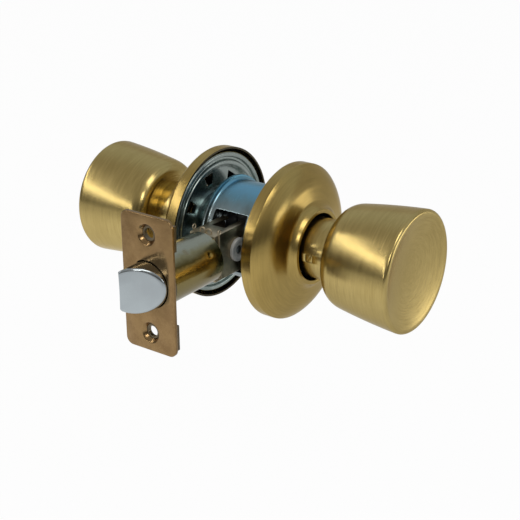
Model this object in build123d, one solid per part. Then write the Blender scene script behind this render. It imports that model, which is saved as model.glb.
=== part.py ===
"""Passage knob latch set, in millimetres.

The origin is where the knob axis (X) crosses the latch axis (Y), in the middle of
the door. The right knob is at +X, the latch bolt points to -Y, and Z is up.
Right-hand pieces are modelled at +X, and left-hand pieces are their mirror image.
"""
import math
import os

from build123d import *

# Layout
door_thickness = 34.9
backset = 69.85
bolt_throw = 11.5
knob_turn = 60.0

# Fits
running_gap = 0.3
fixed_gap = 0.1

# Roses
rose_radius = 33.35
rose_wall = 1.0
rose_rim_width = 4.7
rose_edge_step = 0.85
rose_height = 15.6
rose_bulge = 1.9
rose_lip_radius = 15.9
rose_hub_radius = 14.45
rose_lip_drop = 0.8

# Pressed liners inside the roses
liner_gap = 1.05
liner_wall = 0.7
liner_skirt_depth = 4.2
liner_rim_depth = 0.6
liner_bead_width = 1.5
liner_groove_depth = 1.6
liner_groove_width = 0.8
liner_groove_slope = 0.3
liner_crest_depth = 0.5
liner_crest_width = 1.5
liner_floor_depth = 3.6
liner_floor_slope = 1.7
liner_seat_depth = 4.6
liner_seat_slope = 0.6
liner_seat_width = 3.0
liner_hole_inset = 1.0
window_inset = 4.0
window_length = 5.0
window_foot = 2.8
window_head = 4.4
window_count = 8
window_turn = 11.5

# Chassis
chassis_half_width = 12.05
chassis_radius = 20.65
chassis_wall = 1.25
chassis_bend = 1.2
chassis_flange_width = 1.75
chassis_window_width = 16.6
chassis_window_height = 26.6
cap_thickness = 3.0
collar_end = 24.0
screw_inset = 4.2
screw_clearance = 0.2
screw_radius = 2.0
screw_head_radius = 3.8
screw_head_height = 2.0
screw_slot_width = 1.0
screw_slot_depth = 0.9

# Spindles and cams
spindle_radius = 8.6
spindle_bore = 7.2
spindle_end = 51.0
cam_inner = 6.6
cam_thickness = 2.0
finger_radius = 1.8
finger_length = 1.6

# Knobs
knob_projection = 62.0
knob_back = 27.5
knob_face_radius = 25.5
knob_shoulder_radius = 21.9
knob_back_round = 2.9
knob_back_slope = 0.5
knob_side_bulge = 0.4
knob_wall = 1.3
knob_rim_radius = 1.0
knob_rim_land = 0.5
knob_dish = 3.4
shank_radius = 11.5
shank_start = 27.0
shank_end = 50.0
catch_station = 36.4
catch_width = 3.0
catch_travel = 2.6
catch_recess = 0.3
catch_head = 5.0
catch_head_height = 1.2
catch_foot_inset = 1.0
catch_spring_thickness = 0.4
catch_spring_width = 2.8
catch_spring_front = 7.0
catch_spring_back = 5.5
catch_spring_inset = 1.2

# Retractor
retractor_width = 12.6
retractor_height = 27.0
retractor_thickness = 3.0
retractor_front = -3.6
retractor_slot_gap = 0.5
jaw_inner = 3.4
jaw_outer = 4.7
jaw_height = 7.0
lip_inner = 1.9
lip_thickness = 1.0
rod_offset = 8.0
rod_radius = 1.6
rod_front = -6.0
seat_thickness = 1.0
seat_height = 23.0
coil_radius = 2.6
coil_wire = 0.7
coil_turns = 4

# Latch front
plate_width = 25.4
plate_height = 57.15
plate_thickness = 1.6
plate_corner = 3.2
plate_edge_round = 0.4
screw_spacing = 41.3
screw_hole_radius = 2.3
sink_radius = 4.4
sink_back_radius = 2.9
ear_height = 10.5
ear_width = 24.4
web_width = 18.0

# Latch tube and bolt
bolt_radius = 9.5
bolt_slack = 0.5
bolt_rear = -62.4
bolt_flat = -5.2
bolt_nose = 1.0
bolt_collar = 2.0
bolt_bevel_bulge = 0.7
bolt_bevel_start = 0.8
tube_wall = 0.9
tube_end = -36.0
stem_width = 3.0
stem_height = 8.0
stem_socket = 4.0
head_front = -16.1
head_length = 2.5
head_width = 6.2
spring_radius = 5.7
spring_wire = 0.9
spring_turns = 6

# Rear frame of the latch
frame_width = 12.6
frame_height = 20.0
frame_wall = 1.1
frame_end = -13.8
frame_tongue = 2.0
frame_tongue_height = 15.2
frame_slot_width = 6.4
frame_slot_start = -25.0
washer_thickness = 0.8
pin_station = -21.0
pin_radius = 1.5
pin_overhang = 1.0
pin_clearance = 0.4
bush_radius = 5.0
bush_thickness = 1.5
bush_bore = 1.9
bush_lip = 1.6
bush_dish = 0.5

# Values that follow from the sizes above
door_half = door_thickness / 2
plate_front = -backset
plate_back = plate_front + plate_thickness
back_plate_back = plate_back + plate_thickness
tube_bore = bolt_radius + bolt_slack
tube_radius = tube_bore + tube_wall
liner_radius = rose_radius - rose_wall - liner_gap
liner_seat = door_half + liner_seat_depth
chassis_bore = chassis_radius - chassis_wall
screw_offset = chassis_bore - screw_inset
hub_radius = screw_offset - screw_radius - screw_clearance
collar_radius = screw_offset - screw_head_radius - screw_clearance
liner_hole_radius = hub_radius - liner_hole_inset
liner_seat_radius = liner_hole_radius + liner_seat_width
cap_outer = chassis_half_width
cap_inner = cap_outer - cap_thickness
cam_outer = cam_inner + cam_thickness
finger_inner = cam_inner - finger_length
finger_offset = bolt_throw / (2 * math.sin(math.radians(knob_turn / 2)))
cam_radius = finger_offset + finger_radius + fixed_gap
retractor_back = retractor_front + retractor_thickness
seat_back = math.sqrt((chassis_bore - running_gap) ** 2 - (seat_height / 2) ** 2)
seat_front = seat_back - seat_thickness
jaw_front = head_front - running_gap - lip_thickness
bolt_tip = plate_front - bolt_throw
full_travel = 2 * bolt_throw
washer_front = tube_end - frame_tongue - washer_thickness
face_station = door_half + knob_projection
back_station = door_half + knob_back


def rod_x(radius, start, end):
    """A solid cylinder about the knob axis."""
    return Pos((start + end) / 2, 0, 0) * Rot(0, 90, 0) * Cylinder(radius, end - start)


def rod_y(radius, start, end):
    """A solid cylinder about the latch axis."""
    return Pos(0, (start + end) / 2, 0) * Rot(90, 0, 0) * Cylinder(radius, end - start)


def block(x0, x1, y0, y1, z0, z1):
    """A box between two corners."""
    middle = Pos((x0 + x1) / 2, (y0 + y1) / 2, (z0 + z1) / 2)
    return middle * Box(x1 - x0, y1 - y0, z1 - z0)


def turned(lines):
    """A closed outline in the X-Y plane, turned about X."""
    return revolve(make_face(lines), Axis.X)


def pressed(path, wall, side):
    """An open path in the X-Y plane, given a sheet thickness and turned about X."""
    return revolve(make_face(path.offset_2d(wall, side=side)), Axis.X)


def coil(radius, wire, turns, start, end):
    """A compression spring along Y between two stations."""
    length = end - start - wire
    path = Helix(length / turns, length, radius)
    section = Plane(path @ 0, z_dir=path % 0) * Rectangle(wire, wire)
    spring = sweep(section, path=path, is_frenet=True)
    return Pos(0, start + wire / 2, 0) * Rot(-90, 0, 0) * spring


def make_rose():
    edge = (door_half + rose_rim_width, rose_radius - rose_edge_step)
    lip = (door_half + rose_height, rose_lip_radius)
    run = math.dist(edge, lip)
    normal = ((edge[1] - lip[1]) / run, (lip[0] - edge[0]) / run)
    crown = (
        (edge[0] + lip[0]) / 2 + rose_bulge * normal[0],
        (edge[1] + lip[1]) / 2 + rose_bulge * normal[1],
    )
    hub = (lip[0] - rose_lip_drop, rose_hub_radius)
    roll = (lip[0] - rose_lip_drop / 5, rose_hub_radius + (lip[1] - hub[1]) * 0.4)
    rim = Polyline((door_half, rose_radius), (edge[0], rose_radius), edge)
    dome = ThreePointArc(edge, crown, lip)
    path = Wire([*rim.edges(), dome, ThreePointArc(lip, roll, hub)])
    return pressed(path, rose_wall, Side.RIGHT)


def make_liner():
    rim = door_half + liner_rim_depth
    groove = door_half + liner_groove_depth
    crest = door_half + liner_crest_depth
    floor = door_half + liner_floor_depth
    bead_in = liner_radius - liner_bead_width
    groove_in = bead_in - liner_groove_slope - liner_groove_width
    crest_out = groove_in - liner_groove_slope
    crest_in = crest_out - liner_crest_width
    path = Polyline(
        (door_half + liner_skirt_depth, liner_radius),
        (rim, liner_radius),
        (rim, bead_in),
        (groove, bead_in - liner_groove_slope),
        (groove, groove_in),
        (crest, crest_out),
        (crest, crest_in),
        (floor, crest_in - liner_floor_slope),
        (floor, liner_seat_radius + liner_seat_slope),
        (liner_seat, liner_seat_radius),
        (liner_seat, liner_hole_radius),
    )
    return pressed(path.wire(), liner_wall, Side.LEFT)


def liner_windows():
    """Tapered windows round the floor, leaning to one side and the other by turns."""
    inner = liner_seat_radius + liner_seat_slope
    outer = liner_radius - liner_bead_width - liner_crest_width - liner_floor_slope - window_inset
    middle = (max(inner, outer - window_length) + outer) / 2
    half = outer - middle
    outline = Polyline(
        (-window_foot / 2, -half),
        (window_foot / 2, -half),
        (window_head / 2, half),
        (window_foot / 2 - window_head, half),
        close=True,
    )
    cutter = extrude(make_face(outline), liner_seat_depth + liner_wall)
    cutter = Pos(door_half, 0, middle) * Rot(90, 0, 90) * cutter
    cuts = []
    for index in range(window_count):
        window = cutter if index % 2 else mirror(cutter, about=Plane.XZ)
        cuts.append(Rot(360 / window_count * index + window_turn, 0, 0) * window)
    return cuts


def make_chassis():
    foot = chassis_wall - chassis_half_width
    path = FilletPolyline(
        (foot, chassis_radius + chassis_flange_width),
        (foot, chassis_radius),
        (chassis_half_width, chassis_radius),
        radius=chassis_bend,
    )
    shell = pressed(path.wire(), chassis_wall, Side.RIGHT)
    half = chassis_window_width / 2
    tall = chassis_window_height / 2
    return shell - block(-half, half, -2 * chassis_radius, -chassis_radius / 4, -tall, tall)


def make_cap(tapped):
    cap = rod_x(chassis_bore - fixed_gap, cap_inner, cap_outer)
    cap += rod_x(hub_radius, cap_inner, liner_seat)
    cap += rod_x(collar_radius, cap_inner, collar_end)
    cap -= rod_x(spindle_radius + running_gap, cap_inner, collar_end)
    if tapped:
        for side in (-1, 1):
            hole = rod_x(screw_radius + fixed_gap / 2, cap_inner, liner_seat)
            cap -= Pos(0, 0, side * screw_offset) * hole
    return cap


def make_screws():
    head = liner_seat + liner_wall
    top = head + screw_head_height
    screw = rod_x(screw_radius, cap_inner, head)
    screw += rod_x(screw_head_radius, head, top)
    half = screw_slot_width / 2
    screw -= block(top - screw_slot_depth, top, -half, half, -screw_head_radius, screw_head_radius)
    return [Pos(0, 0, side * screw_offset) * screw for side in (-1, 1)]


def make_spindle():
    spindle = rod_x(spindle_radius, cam_inner, spindle_end) + rod_x(cam_radius, cam_inner, cam_outer)
    spindle -= rod_x(spindle_bore, cam_outer, spindle_end)
    lead = math.radians(knob_turn / 2)
    for side in (-1, 1):
        place = Pos(0, -finger_offset * math.sin(lead), side * finger_offset * math.cos(lead))
        spindle += place * rod_x(finger_radius, finger_inner, cam_inner)
    return spindle - catch_slot(spindle_bore - catch_foot_inset)


def catch_slot(depth):
    half = catch_width / 2 + running_gap
    tall = half + fixed_gap
    return block(
        catch_station - half, catch_station + half, -2 * shank_radius, -depth, -tall, tall
    )


def knob_outline(inset):
    """The closed half outline of the knob, drawn in by a wall thickness."""
    back = back_station + inset
    face = face_station - inset
    rim = knob_face_radius - inset
    shoulder = knob_shoulder_radius - inset
    turn = max(knob_back_round - inset, 0.5)
    bow = turn * (1 - math.sqrt(0.5))
    base = Line((back, shank_radius), (back + knob_back_slope, shoulder - turn))
    corner = ThreePointArc(
        base @ 1, (back + knob_back_slope + bow, shoulder - bow), (back + knob_back_slope + turn, shoulder)
    )
    middle = ((corner @ 1).X / 2 + face / 2, (shoulder + rim) / 2 + knob_side_bulge)
    side = ThreePointArc(corner @ 1, middle, (face - knob_rim_radius, rim))
    curl = knob_rim_radius * (1 - math.sqrt(0.5))
    rolled = ThreePointArc(side @ 1, (face - curl, rim - curl), (face, rim - knob_rim_radius))
    inner = rim - knob_rim_radius - knob_rim_land
    ledge = Line(rolled @ 1, (face, inner))
    centre = (face - knob_dish, 0)
    ball = (inner**2 + knob_dish**2) / (2 * knob_dish)
    sag = (centre[0] + ball - math.sqrt(ball**2 - inner**2 / 4), inner / 2)
    dish = ThreePointArc(ledge @ 1, sag, centre)
    ends = Polyline(centre, (back, 0), (back, shank_radius))
    return [base, corner, side, rolled, ledge, dish, *ends.edges()]


def make_knob_shell():
    section = make_face(knob_outline(0)) - make_face(knob_outline(knob_wall))
    hole = shank_radius + fixed_gap / 2
    section -= Pos(back_station, 0) * Rectangle(4 * knob_wall, 2 * hole)
    return revolve(section, Axis.X)


def make_shank():
    shank = rod_x(shank_radius, shank_start, shank_end)
    shank -= rod_x(spindle_radius + fixed_gap, shank_start, shank_end)
    return shank - catch_slot(0)


def make_catch():
    half = catch_width / 2
    wide = catch_head / 2
    base = catch_foot_inset - spindle_bore
    tip = catch_recess - shank_radius
    catch = block(catch_station - half, catch_station + half, tip, base, -half, half)
    top = base + catch_head_height
    return catch + block(catch_station - wide, catch_station + wide, base, top, -wide, wide)


def make_catch_spring():
    tip = catch_foot_inset - spindle_bore + catch_head_height
    foot = spindle_bore - catch_spring_inset
    bend = Polyline(
        (catch_station - catch_spring_front, foot),
        (catch_station, tip),
        (catch_station + catch_spring_back, foot),
    )
    strip = make_face(bend.wire().offset_2d(catch_spring_thickness, side=Side.LEFT))
    return Pos(0, fixed_gap, -catch_spring_width / 2) * extrude(strip, catch_spring_width)


def make_retractor():
    wide = retractor_width / 2
    tall = retractor_height / 2
    body = block(-wide, wide, retractor_front, retractor_back, -tall, tall)
    reach = head_width / 2 + retractor_slot_gap
    clear = stem_height / 2 + retractor_slot_gap
    body -= block(-reach, reach, retractor_front, retractor_back, -clear, clear)
    for side in (-1, 1):
        body += block(
            min(side * jaw_inner, side * jaw_outer), max(side * jaw_inner, side * jaw_outer),
            jaw_front, retractor_front, -jaw_height / 2, jaw_height / 2,
        )
        body += block(
            min(side * lip_inner, side * jaw_outer), max(side * lip_inner, side * jaw_outer),
            jaw_front, jaw_front + lip_thickness, -jaw_height / 2, jaw_height / 2,
        )
        hole = rod_y(rod_radius + running_gap, retractor_front, retractor_back)
        body -= Pos(0, 0, side * rod_offset) * hole
    return body


def bolt_section(gap):
    """The bolt's section, round with one flat side, as a solid along the latch axis."""
    edge = bolt_radius + gap
    body = rod_y(edge, bolt_tip - 1, bolt_rear)
    return body - block(-2 * edge, bolt_flat - gap, bolt_tip - 1, bolt_rear, -edge, edge)


def make_bolt():
    bolt = bolt_section(0) & block(
        -bolt_radius, bolt_radius, bolt_tip, bolt_rear - bolt_collar, -bolt_radius, bolt_radius
    )
    bolt += rod_y(bolt_radius, bolt_rear - bolt_collar, bolt_rear)
    start = (bolt_flat + bolt_nose, bolt_tip)
    end = (bolt_radius + 0.2, plate_front - bolt_bevel_start)
    run = math.dist(start, end)
    bulge = (
        (start[0] + end[0]) / 2 + bolt_bevel_bulge * (end[1] - start[1]) / run,
        (start[1] + end[1]) / 2 - bolt_bevel_bulge * (end[0] - start[0]) / run,
    )
    corner = Polyline(end, (end[0], bolt_tip - 1), (start[0], bolt_tip - 1), start)
    wedge = extrude(make_face([ThreePointArc(start, bulge, end), *corner.edges()]), 2 * bolt_radius + 2)
    bolt -= Pos(0, 0, -bolt_radius - 1) * wedge
    grip = stem_width / 2 + fixed_gap / 2
    tall = stem_height / 2 + fixed_gap / 2
    return bolt - block(-grip, grip, bolt_rear - stem_socket, bolt_rear, -tall, tall)


def make_stem():
    half = stem_width / 2
    tall = stem_height / 2
    stem = block(-half, half, bolt_rear - stem_socket + fixed_gap, head_front, -tall, tall)
    stem += block(-head_width / 2, head_width / 2, head_front, head_front + head_length, -tall, tall)
    free = pin_radius + pin_clearance
    return stem - block(-half, half, pin_station - full_travel - free, pin_station + free, -free, free)


def make_frame():
    wide = frame_width / 2
    tall = frame_height / 2
    tongue = frame_tongue_height / 2
    frame = block(-wide, wide, tube_end, frame_end, -tall, tall)
    frame += block(-wide, wide, tube_end - frame_tongue, tube_end, -tongue, tongue)
    inner = wide - frame_wall
    frame -= block(-inner, inner, tube_end, frame_end, frame_wall - tall, tall - frame_wall)
    frame -= block(-inner, inner, tube_end - frame_tongue, tube_end, -tongue, tongue)
    slot = frame_slot_width / 2
    frame -= block(-slot, slot, frame_slot_start, frame_end, -tall, tall)
    return frame - Pos(0, pin_station, 0) * rod_x(pin_radius + fixed_gap / 2, -wide, wide)


def make_washer():
    washer = rod_y(tube_bore - fixed_gap, washer_front, washer_front + washer_thickness)
    wide = head_width / 2 + pin_clearance
    tall = stem_height / 2 + pin_clearance
    return washer - block(-wide, wide, washer_front, tube_end, -tall, tall)


def make_seat():
    wide = cam_inner - running_gap
    tall = seat_height / 2
    return block(-wide, wide, seat_front, seat_back, -tall, tall)


def make_faceplate():
    outline = RectangleRounded(plate_width, plate_height, plate_corner)
    plate = Pos(0, plate_back, 0) * Rot(90, 0, 0) * extrude(outline, plate_thickness)
    front = plate.faces().sort_by(Axis.Y)[0]
    plate = fillet(front.edges(), plate_edge_round)
    plate -= bolt_section(running_gap)
    sink = Rot(90, 0, 0) * Cone(sink_back_radius, sink_radius, plate_thickness)
    for side in (-1, 1):
        plate -= Pos(0, (plate_front + plate_back) / 2, side * screw_spacing / 2) * sink
    return plate


def make_back_plate():
    plate = rod_y(tube_radius + tube_wall, plate_back, back_plate_back)
    reach = screw_spacing / 2 + ear_height / 2
    plate += block(-web_width / 2, web_width / 2, plate_back, back_plate_back, -reach, reach)
    wide = ear_width / 2
    tall = ear_height / 2
    ear = block(-wide, wide, plate_back, back_plate_back, -tall, tall)
    hole = rod_y(screw_hole_radius, plate_back, back_plate_back)
    for side in (-1, 1):
        place = Pos(0, 0, side * screw_spacing / 2)
        plate += place * ear
        plate -= place * hole
    return plate - rod_y(tube_radius + fixed_gap, plate_back, back_plate_back)


def make_bushes():
    inner = frame_width / 2
    outer = inner + bush_thickness
    bush = rod_x(bush_radius, inner, outer)
    bush -= rod_x(bush_bore, inner, outer)
    bush -= rod_x(bush_radius - bush_lip, outer - bush_dish, outer)
    bush = Pos(0, pin_station, 0) * bush
    return [bush, mirror(bush, about=Plane.YZ)]


def flipped(part):
    return mirror(part, about=Plane.YZ)


rose = make_rose()
liner = make_liner()
mounting_plate = liner
for side in (-1, 1):
    hole = rod_x(screw_radius + fixed_gap, door_half, collar_end)
    mounting_plate -= Pos(0, 0, side * screw_offset) * hole
left_liner = liner
for window in liner_windows():
    left_liner -= window
spindle = make_spindle()
knob_shell = make_knob_shell()
shank = make_shank()
catch = make_catch()
catch_spring = make_catch_spring()
plain_cap = make_cap(False)
rods = [
    Pos(0, 0, side * rod_offset) * rod_y(rod_radius, rod_front, seat_front) for side in (-1, 1)
]
coils = [
    Pos(0, 0, side * rod_offset) * coil(coil_radius, coil_wire, coil_turns, retractor_back, seat_front)
    for side in (-1, 1)
]
tube = rod_y(tube_radius, plate_back, tube_end) - rod_y(tube_bore, plate_back, tube_end)
pin_end = frame_width / 2 + pin_overhang

nodes = {
    "right_knob_shell": [knob_shell],
    "left_knob_shell": [flipped(knob_shell)],
    "right_knob_shank": [shank],
    "left_knob_shank": [flipped(shank)],
    "right_spindle": [spindle],
    "left_spindle": [flipped(spindle)],
    "right_knob_catch": [catch],
    "left_knob_catch": [flipped(catch)],
    "right_catch_spring": [catch_spring],
    "left_catch_spring": [flipped(catch_spring)],
    "right_rose": [rose],
    "left_rose": [flipped(rose)],
    "right_mounting_plate": [mounting_plate],
    "left_rose_liner": [flipped(left_liner)],
    "mounting_screws": make_screws(),
    "right_end_cap": [make_cap(True)],
    "left_end_cap": [flipped(plain_cap)],
    "chassis_housing": [make_chassis()],
    "retractor": [make_retractor()],
    "retractor_springs": coils,
    "guide_rods": rods,
    "spring_seat": [make_seat()],
    "faceplate": [make_faceplate()],
    "back_plate": [make_back_plate()],
    "latch_tube": [tube],
    "latch_frame": [make_frame()],
    "spring_washer": [make_washer()],
    "latch_bolt": [make_bolt()],
    "bolt_stem": [make_stem()],
    "bolt_spring": [coil(spring_radius, spring_wire, spring_turns, bolt_rear, washer_front)],
    "guide_pin": [Pos(0, pin_station, 0) * rod_x(pin_radius, -pin_end, pin_end)],
    "nylon_bushes": make_bushes(),
}

os.makedirs("parts", exist_ok=True)
for name, solids in nodes.items():
    shape = solids[0] if len(solids) == 1 else Compound(children=solids)
    export_step(shape, f"parts/{name}.step")
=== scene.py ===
"""Passage knob latch set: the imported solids, dressed and lit.

Sizes are in millimetres. X is the knob axis, -Y runs along the latch to the bolt, Z is up.
"""

import math

import bmesh
import bpy
from mathutils import Matrix, Vector


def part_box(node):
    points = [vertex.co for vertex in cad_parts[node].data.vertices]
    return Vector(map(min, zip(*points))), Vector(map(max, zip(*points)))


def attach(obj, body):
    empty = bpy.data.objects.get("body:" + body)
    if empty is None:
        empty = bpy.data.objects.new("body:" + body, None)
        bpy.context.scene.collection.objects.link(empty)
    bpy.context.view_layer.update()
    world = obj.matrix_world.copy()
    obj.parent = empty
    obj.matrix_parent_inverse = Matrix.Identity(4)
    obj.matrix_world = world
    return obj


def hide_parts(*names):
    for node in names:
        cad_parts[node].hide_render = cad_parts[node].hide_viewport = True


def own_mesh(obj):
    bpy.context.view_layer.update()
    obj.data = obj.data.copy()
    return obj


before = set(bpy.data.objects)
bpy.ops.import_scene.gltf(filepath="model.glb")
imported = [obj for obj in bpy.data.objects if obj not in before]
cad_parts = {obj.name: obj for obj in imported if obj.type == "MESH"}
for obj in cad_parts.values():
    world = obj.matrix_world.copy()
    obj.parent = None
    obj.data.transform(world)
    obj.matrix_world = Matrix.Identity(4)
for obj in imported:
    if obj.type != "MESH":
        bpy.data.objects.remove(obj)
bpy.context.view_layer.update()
MM = 0.001


# Knob sizes. Outlines are (station, radius) pairs along the knob axis

DOOR = 17.45
FACE = DOOR + 62.0
BACK = DOOR + 27.5
FACE_RADIUS = 25.5
DISH = 3.4
DISH_STEPS = 32
DISH_EDGE = 0.995
RIM_ROUND = 1.4
RIM_LAND = 0.4
SIDE_BULGE = 0.4
SHOULDER_RADIUS = 21.9
SHOULDER_RISE = 0.45
SHOULDER_LENGTH = 8.0
SHOULDER_DEPTH = 5.2
SHOULDER_SWEEP = 76
SHOULDER_STEPS = 18
BACK_SLOPE = 0.5
BACK_LIP = 0.4
KNOB_WALL = 1.3
SHANK_RADIUS = 11.5
SHANK_BORE = 8.7
SHANK_START = 27.0
SHANK_END = 50.0
SLEEVE_RADIUS = 12.8
SLEEVE_START = 31.0
SLEEVE_END = BACK + 0.3
SLEEVE_ROUNDS = (0.3, 0.1, 0.35, 0.1, 0.1, 0.3)
KNOB_HOLE = SHANK_RADIUS + 0.1
KNOB_INSIDE = (
    (FACE - DISH - KNOB_WALL, 0.0), (FACE - 3.0, 20.0), (FACE - 2.2, FACE_RADIUS - 1.9), (58.0, 21.4),
    (BACK + 6.5, 20.0), (BACK + 3.0, 17.6), (BACK + 1.4, KNOB_HOLE),
)

# Catches
CATCH_STATION = 36.4
CATCH_TRAVEL = 2.6
CATCH_HALF = 1.5
CATCH_CORNER = 0.45
CATCH_TOP = -SLEEVE_RADIUS + 0.12
CATCH_FOOT = -6.4
CATCH_BASE_HALF = 2.5
CATCH_BASE_CORNER = 0.4
CATCH_BASE = (-7.7, -6.5)
CATCH_SLOT_HALF = 1.68
CATCH_SLOT_CORNER = 0.55
CATCH_SLOT_DEPTH = -14
PICK_GROOVE = ((-0.3, -14.0), (0.3, -14.0), (0.0, -SLEEVE_RADIUS + 0.5))
PICK_TURN = 35
PICK_REACH = 3
FINE_EDGE = 0.1

# Roses, with stations from the door's face
ROSE_RADIUS = 33.35
ROSE_WALL = 0.8
ROSE_RIM = 4.6
ROSE_RIM_ROUND = 0.5
ROSE_DOME = ((5.2, ROSE_RADIUS - 0.5), (8.7, 28.6), (10.7, 24.0))
ROSE_NECK = ((12.6, 17.6), (15.4, 15.9), (15.2, 14.3), (12.9, 14.2))
ROSE_NECK_ROUNDS = (5.2, 0.5, 0.4)

# Liner, with stations from the door's face
LINER_RADIUS = 31.3
LINER_WALL = 0.7
LINER_PATH = (
    (4.2, LINER_RADIUS), (0.5, LINER_RADIUS), (0.8, 29.1), (2.1, 28.7), (2.1, 27.7), (0.7, 27.2), (0.7, 25.7),
    (3.6, 24.2), (3.6, 15.6), (4.6, 15.0), (4.6, 12.0),
)
LINER_BENDS = (1.1, 0.6, 0.35, 0.35, 0.6, 0.7, 1.0, 0.4, 0.4)
WINDOW = ((-1.7, 17.9), (1.7, 17.9), (2.7, 22.5), (-3.3, 22.5))
WINDOW_COUNT = 8
WINDOW_TURN = 11.5
WINDOW_DEPTH = (DOOR + 2.0, DOOR + 7.0)

# Chassis
CHASSIS_HALF = 12.05
CHASSIS_RADIUS = 20.65
CHASSIS_WALL = 1.25
CHASSIS_BEND = 1.3
FLANGE_RADIUS = 22.4
OPENING_HALF_WIDTH = 8.3
OPENING_HALF_HEIGHT = 13.3
OPENING_CORNER = 0.9
OPENING_DEPTH = (-26, -4)
CHASSIS_EDGE = 0.16

# Faceplate and bolt, along the latch axis
THROW = 11.5
PLATE_FRONT = -69.85
PLATE_THICKNESS = 1.6
PLATE_HALF_WIDTH = 12.7
PLATE_HALF_HEIGHT = 28.575
PLATE_CORNER = 3.2
PLATE_GAP = 0.3
PLATE_EDGE = 0.3
PLATE_CUT = (PLATE_FRONT - 2, PLATE_FRONT + 4)
SCREW_HEIGHT = 20.65
SCREW_SINK = ((PLATE_FRONT - 0.55, 0.0), (PLATE_FRONT - 0.55, 4.92), (PLATE_FRONT + 1.85, 2.65),
              (PLATE_FRONT + 1.85, 0.0))
BOLT_RADIUS = 9.5
BOLT_FLAT = -5.2
BOLT_TIP = PLATE_FRONT - THROW
BOLT_ROUND = 1.1
BOLT_HEEL = -64.4
BOLT_COLLAR = (-64.5, -62.4)
BOLT_RAMP = ((BOLT_FLAT + 1.0, BOLT_TIP), (2.34, -76.62), (BOLT_RADIUS + 0.2, PLATE_FRONT - 0.8))
BOLT_MIDDLE = (1.2, 0.0)
ROUND_STEPS = 8
RAMP_STEPS = 12
FLAT_STEPS = 16

# Latch tube and frame. A stake mark is station, angle, half length, half width and depth
TUBE_RADIUS = 10.9
TUBE_BORE = 10.0
TUBE_FRONT = PLATE_FRONT + PLATE_THICKNESS
TUBE_END = -36.0
TUBE_CURL = 0.2
TUBE_AROUND = 160
TUBE_ALONG = 120
STAKE_MARKS = (
    (-51.8, 31.0, 3.6, 2.7, 0.55), (-42.8, 60.0, 1.5, 1.4, 0.35),
    (-51.8, -31.0, 3.6, 2.7, 0.55), (-42.8, -60.0, 1.5, 1.4, 0.35),
)
FRAME_HALF = 6.3
FRAME_INSIDE = 5.2
FRAME_TALL = 10.0
FRAME_INSIDE_TALL = 8.9
FRAME_END = -13.8
FRAME_EDGE = 0.28
FRAME_CUT = (-37, -9)
FRAME_SLOT_HALF = 3.2
FRAME_SLOT_START = -25.0
FRAME_SLOT_TALL = 12
TONGUE_TALL = 7.6
TONGUE = (-38.0, -35.5)
TONGUE_CUT = (-39, -35)
PIN_STATION = -21.0
PIN_HOLE = 1.55
PIN_REACH = 8
TAB_EDGE = 0.18
TAB_STEM = ((6.25, -33.35, -7.4), (6.7, -32.75, 10.2))
TAB_RINGS = (((6.45, -32.9, 11.0), "X", 0.95, 0.24), ((6.45, -33.0, -8.2), "X", 0.8, 0.24),
             ((1.6, -33.4, 10.5), "Y", 1.3, 0.3))
BUSH_PATH = ((6.3, 1.9), (6.3, 5.0), (7.8, 5.0), (7.8, 3.6), (7.35, 3.2), (7.35, 1.9))
BUSH_ROUNDS = (0.2, 0.45, 0.3, 0.3)

# Springs. A coil is mean radius, wire and turns
BOLT_COIL = (5.7, 0.9, 3)
RETURN_COIL = (2.6, 0.7, 4)
ROD_HEIGHTS = (-8.0, 8.0)
COIL_STEPS = 28
WIRE_SIDES = 8
SHORTEST = 0.02
LEAF_FOOT = 6.1
LEAF_TIP = -4.9
LEAF_PATH = ((CATCH_STATION - 7.0, LEAF_FOOT), (CATCH_STATION, LEAF_TIP), (CATCH_STATION + 5.5, LEAF_FOOT))
LEAF_BEND = 0.8
LEAF_WALL = 0.4
LEAF_HALF = 1.4

# The tightest inside bend of any sheet
LEAST_BEND = 0.12


# Shader nodes

class Socket:
    """A node's output, which sums and products turn into Math nodes."""

    def __init__(self, nodes, out):
        self.nodes = nodes
        self.out = out

    def __add__(self, other):
        return self.nodes.math("ADD", self, other)

    __radd__ = __add__

    def __mul__(self, other):
        return self.nodes.math("MULTIPLY", self, other)

    __rmul__ = __mul__

    def __sub__(self, other):
        return self.nodes.math("SUBTRACT", self, other)

    def __rsub__(self, other):
        return self.nodes.math("SUBTRACT", other, self)

    def __truediv__(self, other):
        return self.nodes.math("DIVIDE", self, other)

    def __rtruediv__(self, other):
        return self.nodes.math("DIVIDE", other, self)

    def __pow__(self, other):
        return self.nodes.math("POWER", self, other)


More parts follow.
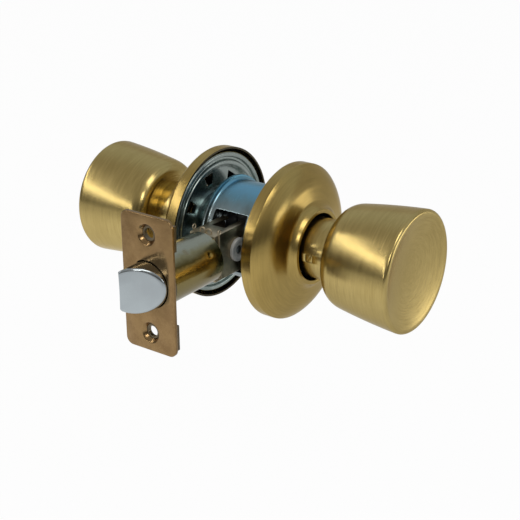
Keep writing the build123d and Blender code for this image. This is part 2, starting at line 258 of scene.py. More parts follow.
class Nodes:
    """A node tree and short ways to fill it."""

    def __init__(self, tree):
        self.tree = tree

    def node(self, kind, settings=None, inputs=None, output=0):
        """A new node, given back as one of its outputs, or as all of them for None."""
        made = self.tree.nodes.new(kind)
        for key, value in (settings or {}).items():
            if key == "stops":
                while len(made.color_ramp.elements) < len(value):
                    made.color_ramp.elements.new(0.5)
                for stop, (place, colour) in zip(made.color_ramp.elements, value):
                    stop.position = place
                    stop.color = colour
            else:
                setattr(made, key, value)
        for key, value in (inputs or {}).items():
            if isinstance(value, Socket):
                self.tree.links.new(value.out, made.inputs[key])
            else:
                made.inputs[key].default_value = value
        if output is None:
            return [Socket(self, out) for out in made.outputs]
        return Socket(self, made.outputs[output])

    def math(self, operation, *values):
        return self.node("ShaderNodeMath", {"operation": operation}, dict(enumerate(values)))

    def place(self):
        return self.node("ShaderNodeTexCoord", output="Object")

    def split(self, vector):
        return self.node("ShaderNodeSeparateXYZ", {}, {0: vector}, None)

    def join(self, x, y, z):
        return self.node("ShaderNodeCombineXYZ", {}, {0: x, 1: y, 2: z})

    def noise(self, vector, scale, detail=2.0, rough=0.5, **extra):
        settings = {"noise_dimensions": "4D"} if extra else {}
        inputs = {"Vector": vector, "Scale": scale, "Detail": detail, "Roughness": rough, **extra}
        return self.node("ShaderNodeTexNoise", settings, inputs)

    def mix(self, amount, first, second):
        return self.node("ShaderNodeMix", {"data_type": "RGBA"}, {0: amount, 6: first, 7: second}, 2)

    def ease(self, value, low, high):
        return self.node("ShaderNodeMapRange", {"interpolation_type": "SMOOTHSTEP"},
                         {"Value": value, "From Min": low, "From Max": high})

    def bump(self, height, strength, distance):
        return self.node("ShaderNodeBump", {}, {"Height": height, "Strength": strength, "Distance": distance})


class Finish(Nodes):
    """A material with one surface shader."""

    def __init__(self, name, **plain):
        self.material = bpy.data.materials.new(name)
        self.material.use_nodes = True
        super().__init__(self.material.node_tree)
        self.shader = self.tree.nodes["Principled BSDF"]
        for key, value in plain.items():
            label = key.replace("_", " ").title().replace("Ior", "IOR")
            self.shader.inputs[label].default_value = value

    def surface(self, colour, rough, normal):
        for key, value in (("Base Color", colour), ("Roughness", rough), ("Normal", normal)):
            self.tree.links.new(value.out, self.shader.inputs[key])
        return self.material


# Finishes

BRUSH_STRETCH = 0.0013
PAINTED_SHADE_BRASS = (0.05, 0.04, 0.02, 1)
BRASS_TINT = (0.84, 0.74, 0.5, 1)
# Heights in metres over which the painted sky reflection comes in on zinc
SKY_TINT_START = 0.012
SKY_TINT_FULL = 0.0215


def brushed_about_x(finish):
    """Fine rings about the knob axis, coarse and fine."""
    x, y, z = finish.split(finish.place())
    radius = (y * y + z * z + 1e-9) ** 0.5
    around = finish.join(x, radius, y / radius * BRUSH_STRETCH)
    turn = z / radius * BRUSH_STRETCH
    coarse = finish.noise(around, 1700.0, 3.0, 0.6, W=turn)
    fine = finish.noise(around, 4600.0, 2.0, 0.6, W=turn)
    return coarse, fine


def satin_brass(name, dark, light, rough, painted_inner_shade=False):
    """Lacquered brass, brushed in rings; the inner face of a pressed sheet gets a painted shade, near black."""
    finish = Finish(name, metallic=1.0, specular_tint=BRASS_TINT, coat_weight=0.5, coat_roughness=0.26)
    coarse, fine = brushed_about_x(finish)
    cloud = finish.noise(finish.place(), 60.0, 3.0)
    grain = coarse * 0.65 + fine * 0.35
    brass = finish.mix(finish.ease(grain * 0.75 + cloud * 0.25, 0.34, 0.66), dark, light)
    if painted_inner_shade:
        # Painted shade: faces turned in towards the door go near black, standing in for the shade inside the rose
        x = finish.split(finish.place())[0]
        across = finish.split(finish.node("ShaderNodeTexCoord", output="Normal"))[0]
        outward = across * finish.math("SIGN", x)
        brass = finish.mix(finish.ease(outward, -0.5, -0.25), PAINTED_SHADE_BRASS, brass)
    return finish.surface(brass, rough + (coarse - 0.5) * 0.12 + (cloud - 0.5) * 0.06,
                          finish.bump(grain, 0.4, 0.000022))


def bronze_plate():
    finish = Finish("bronze_plate", metallic=1.0)
    spot = finish.place()
    cloud = finish.noise(spot, 110.0, 4.0, 0.6)
    speck = finish.noise(spot, 1500.0, 3.0, 0.6)
    bronze = finish.mix(finish.ease(cloud * 0.7 + speck * 0.3, 0.35, 0.65),
                        (0.235, 0.145, 0.064, 1), (0.325, 0.21, 0.095, 1))
    return finish.surface(bronze, 0.22 + (speck - 0.5) * 0.14 + (cloud - 0.5) * 0.1,
                          finish.bump(speck * 0.6 + cloud * 0.4, 0.22, 0.00004))


def zinc_with_painted_sky(name, dark, light, rough, top):
    """Bright zinc, with a painted reflection of the sky that deepens towards the top."""
    finish = Finish(name, metallic=1.0)
    spot = finish.place()
    coarse, fine = brushed_about_x(finish)
    cloud = finish.noise(spot, 120.0, 4.0, 0.6)
    zinc = finish.mix(finish.ease(cloud * 0.75 + coarse * 0.25, 0.35, 0.65), dark, light)
    # Painted reflection: higher up, the colour turns to the top tone, standing in for the sky the zinc reflects
    height = finish.split(spot)[2]
    painted_sky_tint = finish.ease(height + (cloud - 0.5) * 0.008, SKY_TINT_START, SKY_TINT_FULL)
    return finish.surface(finish.mix(painted_sky_tint, zinc, top), rough + (cloud - 0.5) * 0.16 + (fine - 0.5) * 0.1,
                          finish.bump(cloud * 0.5 + fine * 0.5, 0.25, 0.00004))


def yellow_zinc():
    """Yellow chromate, with painted reflection bands by height: a grey-green top, a dark line under it, a gold
    highlight band and olive below.
    """
    finish = Finish("yellow_zinc", metallic=1.0)
    spot = finish.place()
    cloud = finish.noise(spot, 75.0, 3.0, 0.55)
    speck = finish.noise(spot, 520.0, 3.0, 0.6)
    height = finish.split(spot)[2]
    # Painted reflections: the bands follow height on the tube, as a shiny tube shows its surroundings; the yellow
    # colour and its mottling are the chromate's own
    painted_bands = finish.node("ShaderNodeValToRGB", {"stops": [
        (0.05, (0.20, 0.18, 0.10, 1)), (0.30, (0.25, 0.205, 0.085, 1)), (0.60, (0.31, 0.25, 0.10, 1)),
        (0.725, (0.42, 0.28, 0.075, 1)), (0.79, (0.10, 0.075, 0.02, 1)), (0.84, (0.16, 0.135, 0.06, 1)),
        (0.90, (0.25, 0.225, 0.12, 1)), (0.97, (0.33, 0.34, 0.26, 1))]},
        {0: 0.5 + height * 46.0 + (cloud - 0.5) * 0.14 + (speck - 0.5) * 0.06})
    return finish.surface(painted_bands, 0.2 + (speck - 0.5) * 0.16, finish.bump(speck, 0.12, 0.00005))


def polished_bolt():
    finish = Finish("polished_bolt", metallic=1.0)
    spot = finish.place()
    x, y, z = finish.split(spot)
    drawn = finish.noise(finish.join(x, y * 0.05, z), 1500.0, 2.0)
    cloud = finish.noise(spot, 70.0, 3.0, 0.5)
    metal = finish.mix(finish.ease(cloud, 0.3, 0.7), (0.40, 0.44, 0.46, 1), (0.46, 0.51, 0.53, 1))
    return finish.surface(metal, 0.16 + (cloud - 0.5) * 0.08 + (drawn - 0.5) * 0.06,
                          finish.bump(drawn, 0.08, 0.00003))


def plain_steel(name, colour, rough, metallic=1.0):
    finish = Finish(name, metallic=metallic)
    cloud = finish.noise(finish.place(), 220.0, 4.0, 0.6)
    shade = tuple(part * 0.7 for part in colour[:3]) + (1,)
    return finish.surface(finish.mix(finish.ease(cloud, 0.35, 0.65), shade, colour),
                          rough + (cloud - 0.5) * 0.2, finish.bump(cloud, 0.15, 0.00005))


def white_nylon():
    finish = Finish("white_nylon", specular_ior_level=0.4)
    cloud = finish.noise(finish.place(), 300.0, 3.0)
    white = finish.mix(finish.ease(cloud, 0.3, 0.7), (0.42, 0.43, 0.42, 1), (0.56, 0.56, 0.54, 1))
    return finish.surface(white, 0.42 + (cloud - 0.5) * 0.2, finish.bump(cloud, 0.12, 0.00008))


KNOB_BRASS = satin_brass("knob_brass", (0.40, 0.295, 0.09, 1), (0.53, 0.405, 0.145, 1), 0.235)
# The rose skin takes the painted inner shade
ROSE_BRASS = satin_brass("rose_brass", (0.36, 0.25, 0.064, 1), (0.46, 0.325, 0.09, 1), 0.24, True)
PLATE = bronze_plate()
CHASSIS_ZINC = zinc_with_painted_sky("chassis_zinc", (0.20, 0.26, 0.27, 1), (0.31, 0.37, 0.38, 1), 0.24, (0.15, 0.37, 0.50, 1))
LINER_ZINC = zinc_with_painted_sky("liner_zinc", (0.25, 0.305, 0.285, 1), (0.42, 0.485, 0.455, 1), 0.2, (0.31, 0.355, 0.335, 1))
TUBE_ZINC = yellow_zinc()
BOLT = polished_bolt()
FRAME_ZINC = plain_steel("frame_zinc", (0.46, 0.39, 0.26, 1), 0.36)
TAB_ZINC = plain_steel("tab_zinc", (0.50, 0.42, 0.28, 1), 0.3, 0.5)
# Painted shade: the back plate is made dark brown so the screw holes in the faceplate read as shaded
PAINTED_SHADE_PLATE = plain_steel("painted_shade_plate", (0.17, 0.135, 0.085, 1), 0.3)
STEEL = plain_steel("plain_steel", (0.42, 0.43, 0.43, 1), 0.35)
SPRING = plain_steel("spring_steel", (0.30, 0.30, 0.29, 1), 0.3)
NYLON = white_nylon()


# Outlines

def arc(start, through, end, steps=16):
    """Points on the circle through three points."""
    (ax, ay), (bx, by), (cx, cy) = start, through, end
    d = 2 * (ax * (by - cy) + bx * (cy - ay) + cx * (ay - by))
    ux = ((ax**2 + ay**2) * (by - cy) + (bx**2 + by**2) * (cy - ay) + (cx**2 + cy**2) * (ay - by)) / d
    uy = ((ax**2 + ay**2) * (cx - bx) + (bx**2 + by**2) * (ax - cx) + (cx**2 + cy**2) * (bx - ax)) / d
    first, mid, last = (math.atan2(q[1] - uy, q[0] - ux) for q in (start, through, end))
    span = (last - first) % math.tau
    if (mid - first) % math.tau > span:
        span -= math.tau
    size = math.hypot(ax - ux, ay - uy)
    turns = [first + span * i / steps for i in range(steps + 1)]
    return [(ux + size * math.cos(turn), uy + size * math.sin(turn)) for turn in turns]


def rounded(points, radii, steps=5):
    """A bent path with a round at each inner corner."""
    path = [points[0]]
    for before, corner, after, radius in zip(points, points[1:], points[2:], radii):
        a = (Vector(before) - Vector(corner)).normalized()
        b = (Vector(after) - Vector(corner)).normalized()
        half = a.angle(b) / 2
        reach = radius / math.tan(half)
        middle = Vector(corner) + (a + b).normalized() * radius / math.sin(half)
        bow = middle + (Vector(corner) - middle).normalized() * radius
        path += arc(tuple(Vector(corner) + a * reach), tuple(bow), tuple(Vector(corner) + b * reach), steps)
    return path + [points[-1]]


def shifted_path(points, wall):
    """The same bent path, set to its left by a wall thickness."""
    spots = [Vector(p) for p in points]
    ways = [(b - a).normalized() for a, b in zip(spots, spots[1:])]
    lefts = [Vector((-way.y, way.x)) for way in ways]
    path = [spots[0] + lefts[0] * wall]
    for spot, before, after in zip(spots[1:], lefts, lefts[1:]):
        path.append(spot + (before + after) * wall / (1 + before.dot(after)))
    return [tuple(p) for p in path + [spots[-1] + lefts[-1] * wall]]


def sheet(points, radii, wall, steps=5):
    """The closed outline of a bent sheet, round on both sides of each bend."""
    spots = [Vector(p) for p in points]
    inner = []
    for a, b, c, radius in zip(spots, spots[1:], spots[2:], radii):
        left_turn = (b - a).cross(c - b) > 0
        inner.append(max(radius - wall, LEAST_BEND) if left_turn == (wall > 0) else radius + abs(wall))
    far = rounded(shifted_path(points, wall), inner, steps)
    return rounded(points, radii, steps) + far[::-1]


def thickened(path, wall):
    """A closed sheet outline from a smooth path."""
    return path + shifted_path(path, wall)[::-1]


def rounded_box(half_wide, half_tall, radius, steps=5):
    """A rectangle with round corners, as one loop."""
    loop = []
    for across, up, start in ((1, 1, 0), (-1, 1, 90), (-1, -1, 180), (1, -1, 270)):
        for i in range(steps + 1):
            t = math.radians(start + 90 * i / steps)
            loop.append((across * (half_wide - radius) + radius * math.cos(t),
                         up * (half_tall - radius) + radius * math.sin(t)))
    return loop


def from_door(points):
    return [(DOOR + station, radius) for station, radius in points]


# Meshes and pieces

def piece(name, mesh, body, finish, slot, *nodes, sharp=32):
    """A finished object that rides on a body and stands for its solids."""
    mesh.name = name
    mesh.materials.clear()
    mesh.materials.append(finish)
    for face in mesh.polygons:
        face.use_smooth = True
    mesh.set_sharp_from_angle(angle=math.radians(sharp))
    made = bpy.data.objects.new(name, mesh)
    bpy.context.collection.objects.link(made)
    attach(made, body)
    if nodes:
        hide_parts(*nodes)
    return made


def as_mesh(build):
    bmesh.ops.remove_doubles(build, verts=build.verts, dist=1e-7)
    bmesh.ops.recalc_face_normals(build, faces=build.faces)
    mesh = bpy.data.meshes.new("shape")
    build.to_mesh(mesh)
    build.free()
    return mesh


def points_in(build, spots):
    return [build.verts.new(Vector(spot) * MM) for spot in spots]


def bridge(build, rows):
    """Faces from each closed row of points to the next."""
    for one, two in zip(rows, rows[1:]):
        for i in range(len(one)):
            j = (i + 1) % len(one)
            build.faces.new((one[i], one[j], two[j], two[i]))


def turned(outline, axis="X", closed=True, count=160, offset=(0, 0, 0)):
    """An outline spun about the knob axis (X) or the latch axis (Y)."""
    build = bmesh.new()
    rows = []
    for station, radius in outline:
        spots = []
        for i in range(count):
            t = math.tau * i / count
            a, b = radius * math.sin(t), radius * math.cos(t)
            spots.append(Vector((station, a, b) if axis == "X" else (a, station, b)) + Vector(offset))
        rows.append(points_in(build, spots))
    bridge(build, rows + rows[:1] if closed else rows)
    bmesh.ops.dissolve_degenerate(build, dist=1e-8, edges=build.edges)
    return as_mesh(build)


def block(low, high):
    build = bmesh.new()
    bmesh.ops.create_cube(build, size=1)
    low, high = Vector(low) * MM, Vector(high) * MM
    fit = Matrix.Translation((low + high) / 2) @ Matrix.Diagonal((*(high - low), 1))
    bmesh.ops.transform(build, matrix=fit, verts=build.verts)
    return as_mesh(build)


def prism(outline, low, high, axis):
    """A flat outline pushed out between two stations along an axis."""
    build = bmesh.new()
    ends = []
    for s in (low, high):
        ends.append(points_in(build, [{"X": (s, a, b), "Y": (a, s, b), "Z": (a, b, s)}[axis] for a, b in outline]))
    build.faces.new(ends[0])
    build.faces.new(ends[1])
    bridge(build, ends)
    return as_mesh(build)


def worked(mesh, cut=(), add=(), soft=0.0, segments=2, angle=38):
    """A mesh with pieces cut out or added and its edges softened."""
    host = bpy.data.objects.new("work", mesh)
    bpy.context.collection.objects.link(host)
    tools = []
    for operation, meshes in (("DIFFERENCE", cut), ("UNION", add)):
        for other in meshes:
            tool = bpy.data.objects.new("tool", other)
            bpy.context.collection.objects.link(tool)
            tools.append(tool)
            step = host.modifiers.new("join", "BOOLEAN")
            step.operation = operation
            step.solver = "EXACT"
            step.object = tool
    if soft:
        edge = host.modifiers.new("soft", "BEVEL")
        edge.width = soft * MM
        edge.segments = segments
        edge.limit_method = "ANGLE"
        edge.angle_limit = math.radians(angle)
        edge.harden_normals = False
    result = bpy.data.meshes.new_from_object(host.evaluated_get(bpy.context.evaluated_depsgraph_get()))
    for spent in [host, *tools]:
        bpy.data.objects.remove(spent)
    return result


def gathered(meshes):
    """Several meshes as one."""
    build = bmesh.new()
    for mesh in meshes:
        build.from_mesh(mesh)
    return as_mesh(build)


def copied(mesh):
    """The right-hand piece, as drawn."""
    return mesh.copy()


def mirrored(mesh):
    """The left-hand piece."""
    build = bmesh.new()
    build.from_mesh(mesh)
    bmesh.ops.scale(build, vec=(-1, 1, 1), verts=build.verts)
    bmesh.ops.reverse_faces(build, faces=build.faces)
    return as_mesh(build)


def shifted(mesh, x=0, turn_x=0, turn_y=0):
    copy = mesh.copy()
    turn = Matrix.Rotation(math.radians(turn_x), 4, "X") @ Matrix.Rotation(math.radians(turn_y), 4, "Y")
    copy.transform(Matrix.Translation((x * MM, 0, 0)) @ turn)
    return copy


SIDES = (("right", copied), ("left", mirrored))


# Knobs and roses

def knob_outline():
    shoulder = []
    for i in range(SHOULDER_STEPS + 1):
        t = math.radians(SHOULDER_SWEEP * i / SHOULDER_STEPS)
        shoulder.append((BACK + BACK_SLOPE + SHOULDER_LENGTH * (1 - math.cos(t)),
                         SHOULDER_RADIUS + SHOULDER_RISE - SHOULDER_DEPTH * (1 - math.sin(t))))
    end, rim = shoulder[-1], (FACE - RIM_ROUND, FACE_RADIUS)
    side = arc(end, ((end[0] + FACE) / 2, (end[1] + rim[1]) / 2 + SIDE_BULGE), rim, 28)
    bow = RIM_ROUND * (1 - math.sqrt(0.5))
    curl = arc(rim, (FACE - bow, FACE_RADIUS - bow), (FACE, FACE_RADIUS - RIM_ROUND), 8)
    mouth = FACE_RADIUS - RIM_ROUND - RIM_LAND
    ball = (mouth**2 + DISH**2) / (2 * DISH)
    middle = FACE - DISH + ball
    radii = [mouth * (DISH_EDGE - i / DISH_STEPS) for i in range(DISH_STEPS)]
    dish = [(middle - math.sqrt(ball**2 - radius**2), radius) for radius in radii] + [(FACE - DISH, 0.0)]
    lip = [(BACK, KNOB_HOLE), (BACK, KNOB_HOLE + BACK_LIP)]
    return shoulder + side[1:] + curl[1:] + dish + list(KNOB_INSIDE) + lip


def rose_outline():
    """A domed skin with a flared neck, its lip rolled inward."""
    dome = arc(*from_door(ROSE_DOME), 40)
    rim = rounded([(DOOR, ROSE_RADIUS), (DOOR + ROSE_RIM, ROSE_RADIUS), dome[2]], [ROSE_RIM_ROUND])
    neck = rounded([dome[-1], *from_door(ROSE_NECK)], ROSE_NECK_ROUNDS, 12)
    return thickened(rim[:-1] + dome[2:] + neck[1:], -ROSE_WALL)


def shank_mesh():
    outline = rounded([(SHANK_START, SHANK_BORE), (SHANK_START, SHANK_RADIUS), (SLEEVE_START, SHANK_RADIUS),
                       (SLEEVE_START, SLEEVE_RADIUS), (SLEEVE_END, SLEEVE_RADIUS), (SLEEVE_END, SHANK_RADIUS),
                       (SHANK_END, SHANK_RADIUS), (SHANK_END, SHANK_BORE)], SLEEVE_ROUNDS, 3)
    slot = prism(rounded_box(CATCH_SLOT_HALF, CATCH_SLOT_HALF, CATCH_SLOT_CORNER), CATCH_SLOT_DEPTH, 0, "Y")
    return worked(turned(outline, count=128), cut=[shifted(slot, x=CATCH_STATION)], soft=FINE_EDGE)


def catch_mesh():
    """A square stud on a wide foot, its head cut across for a pick."""
    stud = prism(rounded_box(CATCH_HALF, CATCH_HALF, CATCH_CORNER), CATCH_TOP, CATCH_FOOT, "Y")
    base = prism(rounded_box(CATCH_BASE_HALF, CATCH_BASE_HALF, CATCH_BASE_CORNER), *CATCH_BASE, "Y")
    groove = shifted(prism(PICK_GROOVE, -PICK_REACH, PICK_REACH, "Z"), turn_y=PICK_TURN)
    return shifted(worked(worked(stud, cut=[groove]), add=[base], soft=FINE_EDGE), x=CATCH_STATION)


knob = turned(knob_outline(), count=192)
rose = turned(rose_outline(), count=192)
shank = shank_mesh()
catch = catch_mesh()
for side, shape in SIDES:
    piece(f"{side}_knob", shape(knob), f"{side}_knob", KNOB_BRASS, "satin_brass", f"{side}_knob_shell")
    piece(f"{side}_shank", shape(shank), f"{side}_knob", KNOB_BRASS, "satin_brass", f"{side}_knob_shank")
    piece(f"{side}_catch_stud", shape(catch), f"{side}_catch", KNOB_BRASS, "satin_brass", f"{side}_knob_catch")
    piece(f"{side}_rose_skin", shape(rose), "lock_body", ROSE_BRASS, "satin_brass", f"{side}_rose")


# Liner and chassis

def liner_mesh():
    """A beaded pressing with a ring of leaning windows."""
    cuts = []
    for index in range(WINDOW_COUNT):
        lean = 1 if index % 2 else -1
        hole = prism([(lean * across, radius) for across, radius in WINDOW], *WINDOW_DEPTH, "X")
        cuts.append(shifted(hole, turn_x=360 / WINDOW_COUNT * index + WINDOW_TURN))
    pressing = turned(sheet(from_door(LINER_PATH), LINER_BENDS, LINER_WALL))
    return worked(pressing, cut=cuts, soft=FINE_EDGE, angle=50)


def chassis_mesh():
    foot = CHASSIS_WALL - CHASSIS_HALF
    path = [(foot, FLANGE_RADIUS), (foot, CHASSIS_RADIUS), (CHASSIS_HALF, CHASSIS_RADIUS)]
    shell = turned(sheet(path, [CHASSIS_BEND], -CHASSIS_WALL, 8), count=192)
    opening = prism(rounded_box(OPENING_HALF_WIDTH, OPENING_HALF_HEIGHT, OPENING_CORNER), *OPENING_DEPTH, "Y")
    return worked(shell, cut=[opening], soft=CHASSIS_EDGE)


piece("left_liner", mirrored(liner_mesh()), "lock_body", LINER_ZINC, "bright_zinc", "left_rose_liner")
piece("chassis_tube", chassis_mesh(), "lock_body", CHASSIS_ZINC, "bright_zinc", "chassis_housing")


# Latch

def d_section(radius, flat, steps=96):
    """A circle with one flat side, as one loop."""
    half = math.acos(-flat / radius)
    turns = [half + (math.tau - 2 * half) * i / steps for i in range(steps + 1)]
    return [(-radius * math.cos(turn), radius * math.sin(turn)) for turn in turns]


def faceplate_mesh():
    plate = prism(rounded_box(PLATE_HALF_WIDTH, PLATE_HALF_HEIGHT, PLATE_CORNER, 8),
                  PLATE_FRONT, PLATE_FRONT + PLATE_THICKNESS, "Y")
    hole = d_section(BOLT_RADIUS + PLATE_GAP, BOLT_FLAT - PLATE_GAP)
    cuts = [prism(hole, *PLATE_CUT, "Y")]
    for height in (-SCREW_HEIGHT, SCREW_HEIGHT):
        cuts.append(turned(SCREW_SINK, "Y", False, 64, (0, 0, height)))
    return worked(plate, cut=cuts, soft=PLATE_EDGE, segments=3, angle=30)


def bolt_mesh():
    """A D-shaped bolt with a curved ramp and a rounded edge all the way about it."""
    loop = d_section(BOLT_RADIUS, BOLT_FLAT, 108)
    top, foot = loop[-1][1], loop[0][1]
    loop += [(BOLT_FLAT, top + (foot - top) * i / FLAT_STEPS) for i in range(1, FLAT_STEPS)]
    ramp = arc(*BOLT_RAMP, 40)
    middle = Vector(BOLT_MIDDLE)

    def ramp_at(x):
        for (xa, ya), (xb, yb) in zip(ramp, ramp[1:]):
            if xa <= x <= xb:
                return ya + (yb - ya) * (x - xa) / (xb - xa)
        return BOLT_TIP

    def inset_row(inset):
        return [Vector(point) + (middle - Vector(point)).normalized() * inset for point in loop]

    build = bmesh.new()
    rows = [points_in(build, [(x, BOLT_HEEL, z) for x, z in loop])]
    for step in range(ROUND_STEPS + 1):
        inset = BOLT_ROUND * (1 - math.cos(math.radians(90 * step / ROUND_STEPS)))
        drop = BOLT_ROUND - math.sqrt(max(BOLT_ROUND**2 - (BOLT_ROUND - inset) ** 2, 0.0))
        rows.append(points_in(build, [(x, ramp_at(x) + drop, z) for x, z in inset_row(inset)]))
    for step in range(1, RAMP_STEPS):
        row = [edge + (middle - edge) * step / RAMP_STEPS for edge in inset_row(BOLT_ROUND)]
        rows.append(points_in(build, [(x, ramp_at(x), z) for x, z in row]))
    bridge(build, rows)
    build.faces.new(rows[-1])
    build.faces.new(rows[0])
    near, far = BOLT_COLLAR
    build.from_mesh(turned([(near, 0.0), (near, BOLT_RADIUS), (far, BOLT_RADIUS), (far, 0.0)], "Y", False, 96))
    return as_mesh(build)


def tube_mesh():
    """The latch tube with its pressed stake marks and turned rear edge."""
    build = bmesh.new()
    turns = [360 * i / TUBE_AROUND for i in range(TUBE_AROUND)]

    def circle(station, radii):
        return points_in(build, [(radius * math.sin(math.radians(turn)), station, radius * math.cos(math.radians(turn)))
                                 for turn, radius in zip(turns, radii)])

    def radius_at(station, turn):
        radius = TUBE_RADIUS
        for mark, angle, half_long, half_wide, depth in STAKE_MARKS:
            aside = math.radians((turn - angle + 180) % 360 - 180) * TUBE_RADIUS
            off = math.hypot((station - mark) / half_long, aside / half_wide)
            if off < 1:
                radius -= depth * (0.5 + 0.5 * math.cos(math.pi * off))
        return radius

    rows = []
    for step in range(TUBE_ALONG + 1):
        station = TUBE_FRONT + (TUBE_END - TUBE_FRONT) * step / TUBE_ALONG
        curl = TUBE_CURL if step == TUBE_ALONG else 0.0
        rows.append(circle(station, [radius_at(station, turn) - curl for turn in turns]))
    for station in (TUBE_END, TUBE_FRONT):
        rows.append(circle(station, [TUBE_BORE] * TUBE_AROUND))
    bridge(build, rows + rows[:1])
    return as_mesh(build)


def box_along(half_wide, stations, half_tall):
    """A block centred on the latch axis between two stations."""
    near, far = stations
    return block((-half_wide, near, -half_tall), (half_wide, far, half_tall))


def frame_mesh():
    """A box frame open towards the chassis, with a tongue in the tube."""
    shell = box_along(FRAME_HALF, (TUBE_END, FRAME_END), FRAME_TALL)
    pin = [(-PIN_REACH, 0.0), (-PIN_REACH, PIN_HOLE), (PIN_REACH, PIN_HOLE), (PIN_REACH, 0.0)]
    cuts = [box_along(FRAME_INSIDE, FRAME_CUT, FRAME_INSIDE_TALL),
            box_along(FRAME_SLOT_HALF, (FRAME_SLOT_START, FRAME_CUT[1]), FRAME_SLOT_TALL),
            turned(pin, "X", False, 48, (0, PIN_STATION, 0))]
    hollow = box_along(FRAME_INSIDE, TONGUE_CUT, TONGUE_TALL)
    tongue = worked(box_along(FRAME_HALF, TONGUE, TONGUE_TALL), cut=[hollow])
    return worked(worked(shell, cut=cuts, add=[tongue]), soft=FRAME_EDGE)


def ring_mesh(spot, axis, size, wire):
    """A wire ring about X or Y."""
    x, y, z = spot
    station = x if axis == "X" else y
    turns = [math.tau * i / 10 for i in range(10)]
    loop = [(station + wire * math.cos(turn), size + wire * math.sin(turn)) for turn in turns]
    return turned(loop, axis, True, 28, (0, y, z) if axis == "X" else (x, 0, z))


def tabs_mesh():
    """The staked tabs that hold the frame to the tube, on both sides."""
    shapes = [worked(block(*TAB_STEM), soft=TAB_EDGE)] + [ring_mesh(*ring) for ring in TAB_RINGS]
    return gathered([half for shape in shapes for half in (shape, mirrored(shape))])


def bushes_mesh():
    bush = turned(rounded(BUSH_PATH, BUSH_ROUNDS), "X", True, 96, (0, PIN_STATION, 0))
    return gathered([bush, mirrored(bush)])


piece("face_plate", faceplate_mesh(), "lock_body", PLATE, "bronze_plate", "faceplate")
piece("bolt_head", bolt_mesh(), "bolt", BOLT, "polished_bolt", "latch_bolt", sharp=40)
piece("tube_skin", tube_mesh(), "lock_body", TUBE_ZINC, "yellow_zinc", "latch_tube")
piece("tail_frame", frame_mesh(), "lock_body", FRAME_ZINC, "yellow_zinc", "latch_frame")
piece("frame_tabs", tabs_mesh(), "lock_body", TAB_ZINC, "yellow_zinc")
piece("nylon_rings", bushes_mesh(), "lock_body", NYLON, "nylon", "nylon_bushes")


# Springs

def coil_mesh(radius, wire, turns, start, end, height=0.0):
    """A round wire wound about Y between two stations."""
    build = bmesh.new()
    steps = turns * COIL_STEPS
    low, high = start + wire / 2, end - wire / 2
    rows = []
    for i in range(steps + 1):
        t = math.tau * turns * i / steps
        y = low + (high - low) * i / steps
        spots = []
        for j in range(WIRE_SIDES):
            a = math.tau * j / WIRE_SIDES
            reach = radius + wire / 2 * math.cos(a)
            spots.append((reach * math.cos(t), y + wire / 2 * math.sin(a), height + reach * math.sin(t)))
        rows.append(points_in(build, spots))
    bridge(build, rows)
    build.faces.new(rows[0])
    build.faces.new(rows[-1][::-1])
    return as_mesh(build)


def pressed_by(made, anchor, travel, length):
    """Gives the spring a mesh of its own; the share of its length kept after a joint's travel is worked out but not
    applied.
    """
    keep = max(SHORTEST, (length - travel) / length)
    [c * MM for c in anchor]
    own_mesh(made)


def ends_of(node):
    """The front and rear stations of a solid along the latch axis."""
    low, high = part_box(node)
    return low[1] / MM, high[1] / MM


coil_front, coil_rear = ends_of("bolt_spring")
coil_middle = (coil_front + coil_rear) / 2
for name, body, joint, ends in (("bolt_spring_front", "retractor", "bolt_push", (coil_front, coil_middle)),
                                ("bolt_spring_rear", "lock_body", "retractor_slide", (coil_middle, coil_rear))):
    coil = piece(name, coil_mesh(*BOLT_COIL, *ends), body, SPRING, "spring_steel", "bolt_spring")
    pressed_by(coil, (0, ends[1], 0), THROW, ends[1] - ends[0])

return_front, return_rear = ends_of("retractor_springs")
pair = gathered([coil_mesh(*RETURN_COIL, return_front, return_rear, height) for height in ROD_HEIGHTS])
coils = piece("return_springs", pair, "lock_body", SPRING, "spring_steel", "retractor_springs")
pressed_by(coils, (0, return_rear, 0), THROW, return_rear - return_front)

leaf = prism(sheet(LEAF_PATH, [LEAF_BEND], LEAF_WALL), -LEAF_HALF, LEAF_HALF, "Z")
for side, shape in SIDES:
    strip = piece(f"{side}_catch_leaf", shape(leaf), f"{side}_knob", SPRING, "spring_steel", f"{side}_catch_spring")
    pressed_by(strip, (0, LEAF_FOOT, 0), CATCH_TRAVEL, LEAF_FOOT - LEAF_TIP)


# The other solids keep their shape

FINISHES = {
    "right_mounting_plate": LINER_ZINC, "right_end_cap": CHASSIS_ZINC, "left_end_cap": CHASSIS_ZINC,
    "back_plate": PAINTED_SHADE_PLATE, "spring_washer": TUBE_ZINC, "right_spindle": STEEL, "left_spindle": STEEL,
    "retractor": STEEL, "guide_rods": STEEL, "spring_seat": STEEL, "bolt_stem": STEEL, "guide_pin": STEEL,
    "mounting_screws": STEEL,
}
for name, finish in FINISHES.items():
    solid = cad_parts[name]
    for place in solid.material_slots:
        place.material = finish


# Stage, with a painted shadow: a darker patch where the part's shadow falls and a painted fall-off of light further
# out, both seen only in reflections. Distances are in metres

STAGE_GREY = (0.62, 0.62, 0.62, 1)
STAGE_WHITE = 0.97
PAINTED_SHADOW_CENTRE = (0.10, 0.12)
PAINTED_SHADOW_NEAR = 0.05
PAINTED_SHADOW_FAR = 0.36
PAINTED_SHADOW_LOW = 0.3
PAINTED_SHADOW_RISE = 0.65
PAINTED_FALLOFF_NEAR = 0.12
PAINTED_FALLOFF_FAR = 0.55
PAINTED_FALLOFF = 0.7
SWEEP_START = (-1400, -95)
SWEEP_PATH = ((-1200, -95), (1300, -95), (1300, 900))
SWEEP_BEND = 350
SWEEP_HALF = 2200


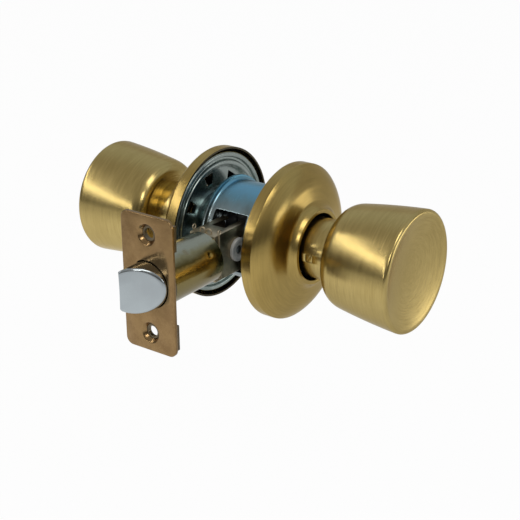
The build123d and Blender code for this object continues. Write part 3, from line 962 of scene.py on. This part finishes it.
def stage_finish():
    finish = Finish("white_stage", base_color=STAGE_GREY, roughness=0.9)
    seen, glossy, through = (finish.node("ShaderNodeLightPath", output=ray) for ray in
                             ("Is Camera Ray", "Is Glossy Ray", "Is Transmission Ray"))
    white = finish.node("ShaderNodeEmission", {}, {"Color": (1, 1, 1, 1), "Strength": 1.0})
    x, y, z = finish.split(finish.place())
    # Painted shadow: reflections get less of the white glow over the patch, which partly lets the floor's real shadow
    # show; the glow also fades away from the part as a painted fall-off of light
    across, along = x - PAINTED_SHADOW_CENTRE[0], y - PAINTED_SHADOW_CENTRE[1]
    far = finish.ease((across * across + along * along) ** 0.5, PAINTED_SHADOW_NEAR, PAINTED_SHADOW_FAR)
    painted_falloff_mask = finish.ease((x * x + y * y) ** 0.5, PAINTED_FALLOFF_NEAR, PAINTED_FALLOFF_FAR)
    shown = seen * STAGE_WHITE + (glossy + through) * (PAINTED_SHADOW_LOW + far * PAINTED_SHADOW_RISE) * (1.0 - painted_falloff_mask * PAINTED_FALLOFF)
    both = finish.node("ShaderNodeMixShader", {}, {0: shown, 1: Socket(finish, finish.shader.outputs[0]), 2: white})
    finish.tree.links.new(both.out, finish.tree.nodes["Material Output"].inputs["Surface"])
    return finish.material


def sweep_mesh():
    """A floor that curves up into a back wall."""
    profile = [SWEEP_START] + rounded(SWEEP_PATH, [SWEEP_BEND], 16)
    build = bmesh.new()
    rows = [points_in(build, [(-SWEEP_HALF, y, z), (SWEEP_HALF, y, z)]) for y, z in profile]
    for a, b in zip(rows, rows[1:]):
        build.faces.new((a[0], a[1], b[1], b[0]))
    return as_mesh(build)


backdrop = bpy.data.objects.new("white_sweep", sweep_mesh())
backdrop.data.materials.append(stage_finish())
for face in backdrop.data.polygons:
    face.use_smooth = True
bpy.context.collection.objects.link(backdrop)


# Light. Panels are in metres: direction, long side, distance, width, height, radiance and colour

WARM_WHITE = (1.0, 0.98, 0.95)
PANELS = {
    "front_strip": ((-0.58, -0.69, 0.425), (-0.443, 0.656, 0.61), 1.1, 1.3, 0.06, 8.2, (1.0, 0.98, 0.96)),
    "high_right": ((0.45, -0.16, 0.86), (1, 0, 0), 1.2, 0.6, 0.5, 3.0, WARM_WHITE),
    "side_card": ((0.95, 0.22, 0.17), (-0.22, 0.95, 0), 1.1, 0.34, 0.2, 2.6, WARM_WHITE),
    "front_card": ((0.48, -0.67, 0.54), (1, 0.7, 0), 1.1, 0.22, 0.22, 8.0, WARM_WHITE),
    "right_card": ((0.39, 0.25, -0.02), (0.25, -0.39, 0), 0.47, 0.26, 0.12, 2.2, WARM_WHITE),
}
SKY_LOW = (0.12, 0.117, 0.11, 1)
SKY_HIGH = (0.42, 0.41, 0.40, 1)
SKY_BEHIND = (0.52, 0.56, 0.62, 1)


def softbox(name, way, along, distance, wide, tall, radiance, colour):
    """A lit panel that faces the part, with its long side along a given line."""
    lamp = bpy.data.lights.new(name, "AREA")
    lamp.shape = "RECTANGLE"
    lamp.size = wide
    lamp.size_y = tall
    lamp.energy = radiance * math.pi * wide * tall
    lamp.color = colour
    panel = bpy.data.objects.new(name, lamp)
    outward = Vector(way).normalized()
    upright = outward.cross(Vector(along)).normalized()
    turn = Matrix((upright.cross(outward), upright, outward)).transposed().to_4x4()
    panel.matrix_world = Matrix.Translation(outward * distance) @ turn
    bpy.context.collection.objects.link(panel)


for name, panel in PANELS.items():
    softbox(name, *panel)

world = bpy.data.worlds.new("studio")
bpy.context.scene.world = world
world.use_nodes = True
sky = Nodes(world.node_tree)
east, north, height = sky.split(sky.node("ShaderNodeTexCoord", output="Generated"))
before = sky.mix(sky.ease(height, 0.12, 0.6), SKY_LOW, SKY_HIGH)
glow = sky.mix(sky.ease(north, -0.15, 0.5), before, SKY_BEHIND)
sky.tree.links.new(glow.out, sky.tree.nodes["Background"].inputs["Color"])


# Camera, as solved on the photo's faceplate and roses

LENS = 84.84
EYE = (289.174, -395.12, 191.596)
AZIMUTH = math.radians(35.937)
ELEVATION = math.radians(22.75)
ROLL = math.radians(-0.334)

camera = bpy.data.cameras.new("camera")
camera.lens = LENS
camera.sensor_width = 36.0
camera.clip_start = 0.01
viewer = bpy.data.objects.new("camera", camera)
behind = Vector((math.sin(AZIMUTH) * math.cos(ELEVATION), -math.cos(AZIMUTH) * math.cos(ELEVATION),
                 math.sin(ELEVATION)))
level = Vector((math.cos(AZIMUTH), math.sin(AZIMUTH), 0))
across = level * math.cos(ROLL) + behind.cross(level) * math.sin(ROLL)
aim = Matrix((across, behind.cross(across), behind)).transposed().to_4x4()
viewer.matrix_world = Matrix.Translation(Vector(EYE) * MM) @ aim
bpy.context.collection.objects.link(viewer)
bpy.context.scene.camera = viewer
bpy.context.scene.view_settings.view_transform = "Standard"
